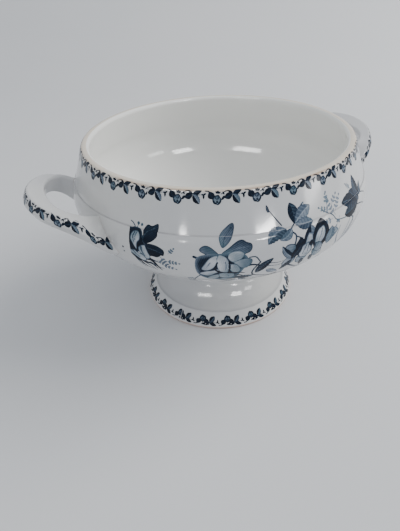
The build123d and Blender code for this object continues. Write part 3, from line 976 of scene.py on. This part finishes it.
def rose(d):
    """Folded petals over a dark ground, three leaves above and twigs below."""
    r = Placed(d.sheet, deg(-119.6))      # x in mm to the right of its middle

    def folded(points, tone, edge, shade, angle):
        middle = np.mean(points, 0)
        r.blob(middle + 1.17 * (points - middle), tone, edge, 0.6, shade, 0.05, angle)

    d.stroke(((-124.8, 60), (-127.4, 66), (-129.8, 78)), 0.9, 0.8, 0.35)
    d.stroke(((-122.5, 45.6), (-125.4, 45.4), (-127.6, 43.6)), 1, 1.9, 0.25)
    r.blob([(-1.5, 40.5), (-5, 37), (-8.5, 35.2), (-11.5, 36), (-13.2, 38.4), (-11, 40.6), (-6, 42.5),
            (-1, 42)], 0.46, 0.24, 0.8, (-0.08, 0.08), 0.08, 0.15)
    r.blob([(1.6, 37), (-0.3, 33), (-0.4, 28.8), (2.4, 24.6), (7.6, 20.6), (9.4, 22.6), (8, 29.4),
            (5.4, 34)], 0.5, 0.3, 0.8, (-0.1, 0.06), 0.1, -0.9)
    r.stroke([(1.8, 36.4), (2.8, 31), (7.2, 23.4)], 0.5, 0.4, 0.28)
    r.blob([(1.2, 40.6), (6, 36.6), (10.5, 33), (14.2, 32), (17, 33.8), (20, 35.2), (20.6, 38.2),
            (18.6, 41.2), (13, 42.6), (7, 42.5), (2.4, 42.6)], 0.42, 0.2, 0.8, (-0.04, 0.1), 0.1, -0.45)
    r.stroke([(2.4, 41.2), (10, 38), (18.6, 36.6)], 0.5, 0.4, 0.6)
    d.leaf(-114.6, 67, -108.4, 66, 6.4, bend=1, tone=(0.08, 0.35), serr=0.1)
    d.leaf(-117.6, 69.5, -110, 65.5, 4.4, bend=-0.6, tone=(0.08, 0.3), serr=0.08)
    r.blob([(-15.5, 45), (-9, 41.5), (0, 41), (8, 40), (14.5, 41.5), (18, 46), (16.5, 53), (13.5, 60),
            (10.5, 66), (3, 70), (-6, 69), (-13, 64), (-16.2, 56)], 0.16, 0.62, 3.4, (0, 0), 0.12, 1.35)
    folded([(-2.3, 43.6), (-6.5, 45), (-10, 50.2), (-11.6, 54), (-8.5, 55.2), (-5, 53), (-2.5, 48.5)], 0.9,
            0.3, (0.08, -0.05), -0.9)
    folded([(0, 42.8), (3.6, 45), (5.3, 49.2), (5.2, 56.2), (2, 57.6), (-0.6, 55.2), (-1.8, 49.2),
            (-1.6, 45.2)], 0.88, 0.26, (-0.14, 0), 1.4)
    folded([(7.2, 40.8), (11.8, 40.2), (14.8, 42.2), (13.2, 45.6), (10, 47.9), (7.3, 47), (5.5, 43.9)],
            0.86, 0.3, (-0.06, -0.06), 0.5)
    folded([(8, 50.4), (11, 51.4), (12.8, 55.4), (11.6, 58.3), (8.5, 57.9), (6.4, 54.6), (6, 51.4)], 0.84,
            0.28, (-0.08, 0.05), 1.2)
    folded([(9.6, 48.5), (14.8, 46.4), (19.4, 47), (19.8, 50.2), (17, 53.7), (13.6, 53.3), (11.6, 50.9)],
            0.72, 0.24, (-0.22, 0), 0.2)
    folded([(-1.9, 55.2), (-5.5, 56.4), (-10.2, 57.5), (-13, 59.6), (-10, 61.9), (-6.8, 62), (-3.9, 59.5),
            (-1.7, 57.7)], 0.86, 0.28, (-0.04, -0.08), 0.2)
    folded([(-0.8, 61.4), (-5, 62.5), (-8.3, 65.8), (-7.6, 68.2), (-4, 68), (-1.3, 65.4)], 0.86, 0.3,
            (0, 0.06), -0.8)
    folded([(0.2, 60.2), (4, 59.4), (8.2, 60.6), (8.9, 63.9), (6.1, 66.2), (1.5, 65.7), (-0.1, 63.1)], 0.84,
            0.28, (-0.1, 0), 1.3)
    r.blob([(-0.4, 68.8), (2, 67.2), (5, 67.9), (4.8, 70.6), (1.4, 71)], 0.84, 0.3, 0.6)
    r.strokes((((-2.4, 56), (2, 58.6), (7, 59.2), (12.6, 59.2)), ((5.8, 47.6), (6.2, 53), (5.6, 58.2)),
            ((-1.8, 48.2), (-3.6, 54.2), (-1.2, 57.6))), 1.1, 1.2, 0.05)
    r.strokes((((3.4, 48), (3.9, 52), (3.4, 55.6)), ((-6.6, 48.4), (-8, 51), (-8.8, 52.6)), ((4.6, 61.6),
            (5.8, 63), (5.4, 64.6))), 0.8, 0.5, 0.55)
    r.strokes((((13, 59.4), (16.6, 60.6)), ((11.4, 62.2), (15.2, 63.6)), ((10.4, 65.2), (13.4, 66.4))), 1.3,
            0.6, 0.14)
    d.sprig(-128, 68, 200, 7.5, 3, 2.2, 1.1, 0.6)
    d.sprig(-129.6, 77, 160, 6.5, 2, 2.2, 1.1, 0.6)
    d.leaf(-129.6, 78, -126.2, 84, 4.2, tone=(0.3, 0.5))
    d.leaf(-129.6, 78, -133.4, 82.5, 4, tone=(0.3, 0.5))


def front_sprays():
    """The whole print on one side of the bowl, apart from the fragment."""
    sheet = Sheet(deg(-154), deg(-54), 10.5, 92)
    for draw in (right_end, fern, foliage, upper_spray, dark_flower, bud, rose):
        draw(Placed(sheet, 0, DEG_MM))
    sheet.trim(np.where(sheet.x < deg(-131), -1, 9))
    return sheet


def front_fragment():
    """Piece of another spray, cut straight off at its left side."""
    fr = Sheet(deg(-154), deg(-130), 18, 74)
    cut = deg(-149.4)
    c = Placed(fr, cut)      # x in mm to the right of the cut

    c.stroke([(0.4, 24.9), (2.2, 25.8), (3.8, 27.6)], 0.8, 0.9, 0.35)
    c.petal(6.4, 26.6, 6.7, 24.2, 2.2, tone=0.4, deep=0.1, edge=0.5)
    c.petal(8.9, 27, 9.7, 24.8, 1.8, tone=0.45, deep=0.1, edge=0.5)
    c.stroke([(5.4, 28.6), (6.5, 26.5)], 0.5, 0.5, 0.45)
    for pts, w0, w1, tn in (
            (((12, 49), (16.5, 51), (21.5, 52.6)), 2, 0.7, 0.32),
            (((7, 57.5), (10.6, 60), (14.8, 61.6)), 1, 0.5, 0.4),
            (((9, 55), (14, 58.6), (17.2, 62.8)), 1.1, 0.5, 0.3),
            (((14.5, 54), (19.5, 57.4), (23.6, 58.8)), 1.2, 0.5, 0.45),
            (((3, 53), (5.5, 57.5), (8.5, 61.6)), 0.9, 0.5, 0.45),
            (((1, 49), (3.9, 52.8), (7, 56.2), (10.2, 60)), 2.4, 0.9, 0.08),
            (((4.5, 52), (10, 54.6), (15.5, 55.6), (18.6, 60)), 2.6, 0.8, 0.08),
            (((11.6, 50.8), (15.5, 51.4), (18, 54.6), (21.4, 61.5)), 3, 0.8, 0.08)):
        c.stroke(pts, w0, w1, tn)
    c.blob([(-3, 29.5), (1, 29.2), (3.5, 28.3), (7, 28.4), (9.6, 30), (10.6, 33.5), (10, 38), (9, 43),
            (6, 47), (2, 47), (-3, 47)], 0.08, 0.4, 1.3, (0, -0.06), 0.08, 1.3)
    c.blob([(6, 42.5), (8, 37.6), (10.8, 33.9), (11, 28.8), (13.8, 25), (17.1, 25.4), (21.2, 23.4),
            (21.9, 25.9), (21.3, 29.3), (21, 32.5), (17.8, 35.9), (14, 38.2), (9.6, 41)], 0.12, 0.07, 0.7,
            (-0.02, -0.13), 0.08, -0.7)
    c.blob([(12.2, 39.4), (15.5, 38.1), (20.4, 38.4), (24.2, 40), (26, 41.9), (25.4, 45.4), (23.3, 45.8),
            (20.6, 47.8), (17, 47.6), (14.6, 47.6), (13.2, 43.3)], 0.1, 0.06, 0.7, (0.03, -0.08), 0.08,
            0.35)
    c.stroke([(12.6, 39.8), (10.8, 36), (13.5, 30.5), (19.4, 26.4)], 0.5, 0.4, 0.42)
    c.stroke([(14.2, 41.4), (19, 42.2), (24.6, 43.8)], 0.5, 0.4, 0.42)
    c.blob([(0.8, 46), (3.5, 45.5), (5.6, 47), (9.6, 48.1), (12, 51.3), (11.2, 53.6), (8.5, 54.1),
            (5.4, 52.3), (1.2, 49.6), (-2.5, 48), (-2, 46)], 0.86, 0.24, 0.8, (0.06, 0), 0.05, 0.6)
    c.stroke([(2.2, 46.4), (4, 48.6), (6.6, 51)], 1.2, 0.6, 0.42)
    c.blob([(7, 42.8), (9.3, 40.4), (12.2, 39.6), (13, 41.1), (14.3, 45.3), (15.4, 48.6), (14.2, 50.9),
            (11.8, 51.4), (9.9, 48.4), (7.4, 46.5)], 0.86, 0.2, 0.8, (0.07, 0), 0.05, 1.2)
    c.stroke([(9.2, 42), (9.4, 45), (11.2, 48.6)], 1.7, 0.6, 0.4)
    c.blob([(1.7, 33.6), (3.5, 31.5), (5.4, 30.9), (7.2, 31.1), (8.6, 33.7), (8.3, 36.8), (6.4, 39.5),
            (5.6, 44.6), (4.5, 43.8), (2.5, 40.2), (0.9, 37.3)], 0.9, 0.24, 0.7, (0.05, 0), 0.05, 1.3)
    c.stroke([(4.6, 31.8), (3.2, 35), (3.6, 39.6)], 1, 0.5, 0.3)
    c.stroke([(6.2, 31.6), (4.9, 34.6), (4.6, 38)], 0.9, 0.4, 0.4)
    for x0, y0, a, ln, pairs, lf in (
            (22.5, 46.8, -50, 7, 2, 2.4), (26.4, 50.2, -4, 8.5, 3, 2.6), (22.8, 54.2, -18, 9.5, 3, 2.6),
            (20, 50.5, -25, 6, 2, 2.2), (28.6, 43.4, 48, 5.4, 2, 1.9)):
        c.sprig(x0, y0, a, ln, pairs, lf, 1.4, 0.62)
    fr.trim(fr.x - cut)
    # stray dots of ink left of the cut
    d = Placed(fr, 0, DEG_MM)
    d.petal(-152.7, 45.6, -152.3, 47, 1.6, tone=0.12, deep=0.1, width=0.3)
    d.petal(-152.6, 49.6, -152.3, 50.8, 1.3, tone=0.45, deep=0.1, width=0.3)
    return fr


# ---------------------------------------------------------------- pieces
mats = {w: body_glaze("glaze_" + w, w) for w in ("bowl", "foot", "handle", "slip")}
ink = print_ink("transfer_print")

for name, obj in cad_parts.items():
    obj.data.materials.clear()
    obj.data.materials.append(mats["slip" if "seam" in name else "handle" if "handle" in name else "bowl"])

bowl = turned("tureen_bowl", BOWL, False)
bowl.data.materials.append(mats["bowl"])
foot = turned("tureen_foot", FOOT, True)
foot.data.materials.append(mats["foot"])
for obj, nm in ((bowl, "bowl"), (foot, "pedestal_foot")):
    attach(obj, "root")
    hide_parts(nm)

rim = repeated(border(RIM_PERIOD, 10.2, 2.6, 1), RIM_REPEATS)
rim.y = rim.y - 0.5
shell("rim_border_print", rim, on_bowl, deg(-140.9) - RIM_PERIOD * NODE_AT, rows=9)

band = repeated(border(FOOT_PERIOD, 13.4, 10.1, -1), FOOT_REPEATS)
band.tone = band.tone * 0.6
shell("foot_border_print", band, on_foot, -147.0 * FOOT_DEG_MM - FOOT_PERIOD * NODE_AT, rows=6)

sprays, fragment = front_sprays(), front_fragment()
for side_name, turn_by in (("front", 0.0), ("back", 180.0)):
    shell(side_name + "_spray_print", sprays, on_bowl, deg(turn_by), rows=2)
    shell(side_name + "_fragment_print", fragment, on_bowl, deg(turn_by))

STRIP_START, STRIP_END = 4.0, 3.0     # where a handle's print starts, and what is bare at both ends, mm
for name in ("handle_left", "handle_right"):
    surface, length = handle_surface(name, name == "handle_left")
    strip = repeated(border(RIM_PERIOD, 10.6, 2.8, 1), int(length // RIM_PERIOD) + 1)
    run = strip.x + STRIP_START
    strip.trim(np.minimum(np.minimum(run - STRIP_END, length - STRIP_END - run), 9.0))
    shell(name + "_border_print", strip, surface, STRIP_START, rows=4)

# ---------------------------------------------------------------- camera
cam_data = bpy.data.cameras.new("camera")
cam = added("camera", cam_data)
cam_data.lens = 29.15
cam_data.sensor_width = 36.0
BACK, UP, AZIMUTH = 0.3519, 0.2749, -30     # the camera's distance, height and direction, metres and degrees
pitch, yaw, roll = math.radians(35.94), math.radians(-3.11), math.radians(-2.89)
forward = Vector((math.sin(yaw) * math.cos(pitch), math.cos(yaw) * math.cos(pitch), -math.sin(pitch)))
level = Vector((math.cos(yaw), -math.sin(yaw), 0))
upward = level.cross(forward)
side = math.cos(roll) * level + math.sin(roll) * upward
top = -math.sin(roll) * level + math.cos(roll) * upward
swing = Matrix.Rotation(math.radians(AZIMUTH), 3, "Z")
place = swing @ Vector((0, -BACK, UP))
aim = Matrix((swing @ side, swing @ top, -(swing @ forward))).transposed()
cam.matrix_world = Matrix.Translation(place) @ aim.to_4x4()
bpy.context.scene.camera = cam

# ---------------------------------------------------------------- stage
m, nt, shader = new_material("backdrop")
coord, *_ = position(nt)
nt.links.new(mix(nt, noise(nt, coord, 3.0, 2.0), srgb(206, 208, 211), srgb(211, 212, 214)),
             shader.inputs["Base Color"])
shader.inputs["Roughness"].default_value = 0.75
shader.inputs["Specular IOR Level"].default_value = 0.2
back_dir = swing @ Vector((0, 1, 0))
side_dir = swing @ Vector((1, 0, 0))
# floor, a quarter-round cove and a wall: distance behind the tureen and height, metres
COVE_AT, COVE_R = 0.7, 1.6
cove = arc((COVE_AT, COVE_R), COVE_R, -84, -6, 14)
floor_profile = ([(-3.0, 0.0), (COVE_AT, 0.0)] + cove
                 + [(COVE_AT + COVE_R, COVE_R), (COVE_AT + COVE_R, 4.0)])
verts, faces = [], []
for u, h in floor_profile:
    for w in (-4.0, 4.0):
        verts.append(tuple(back_dir * u + side_dir * w + Vector((0, 0, h))))
for i in range(len(floor_profile) - 1):
    faces.append((2 * i, 2 * i + 1, 2 * i + 3, 2 * i + 2))
me = bpy.data.meshes.new("backdrop")
me.from_pydata(verts, [], faces)
me.shade_smooth()
me.materials.append(m)
backdrop = added("backdrop", me)


LIT_POINT = Vector((0, 0, 0.1))       # every light faces this point


def window(name, azimuth, elevation, distance, width, height, watts, colour=(1, 1, 1)):
    """Area light in the given direction from the tureen (azimuth 0 is the front)."""
    a, e = math.radians(azimuth), math.radians(elevation)
    centre = LIT_POINT + distance * Vector((math.sin(a) * math.cos(e), -math.cos(a) * math.cos(e),
                                            math.sin(e)))
    light = bpy.data.lights.new(name, "AREA")
    light.shape, light.energy, light.color = "RECTANGLE", watts, colour
    light.size, light.size_y = width, height
    obj = added(name, light)
    obj.location = centre
    obj.rotation_euler = (LIT_POINT - centre).to_track_quat("-Z", "Y").to_euler()
    return obj


key = window("window_key", 74, 40, 2.0, 1.6, 1.4, 40, (1.0, 0.99, 0.97))
key.visible_glossy = False

# the window panes are seen as reflections only
for pane in (window("window_front", 8, 37, 1.5, 0.46, 0.36, 12.0),
             window("window_left", -64, 42, 1.5, 0.60, 0.40, 16.0),
             window("window_right", 34, 24, 1.6, 0.40, 0.30, 3.0),
             window("window_strip", 2, 6.0, 1.6, 0.38, 0.040, 3.6),
             window("window_far", 42, 4.8, 1.6, 0.42, 0.09, 1.2),
             window("window_small", -54, 6.6, 1.6, 0.13, 0.036, 0.9)):
    pane.visible_diffuse = False

world = bpy.data.worlds.new("room")
bpy.context.scene.world = world
world.use_nodes = True
world.node_tree.nodes["Background"].inputs[0].default_value = (0.90, 0.93, 0.97, 1)
world.node_tree.nodes["Background"].inputs[1].default_value = 0.89
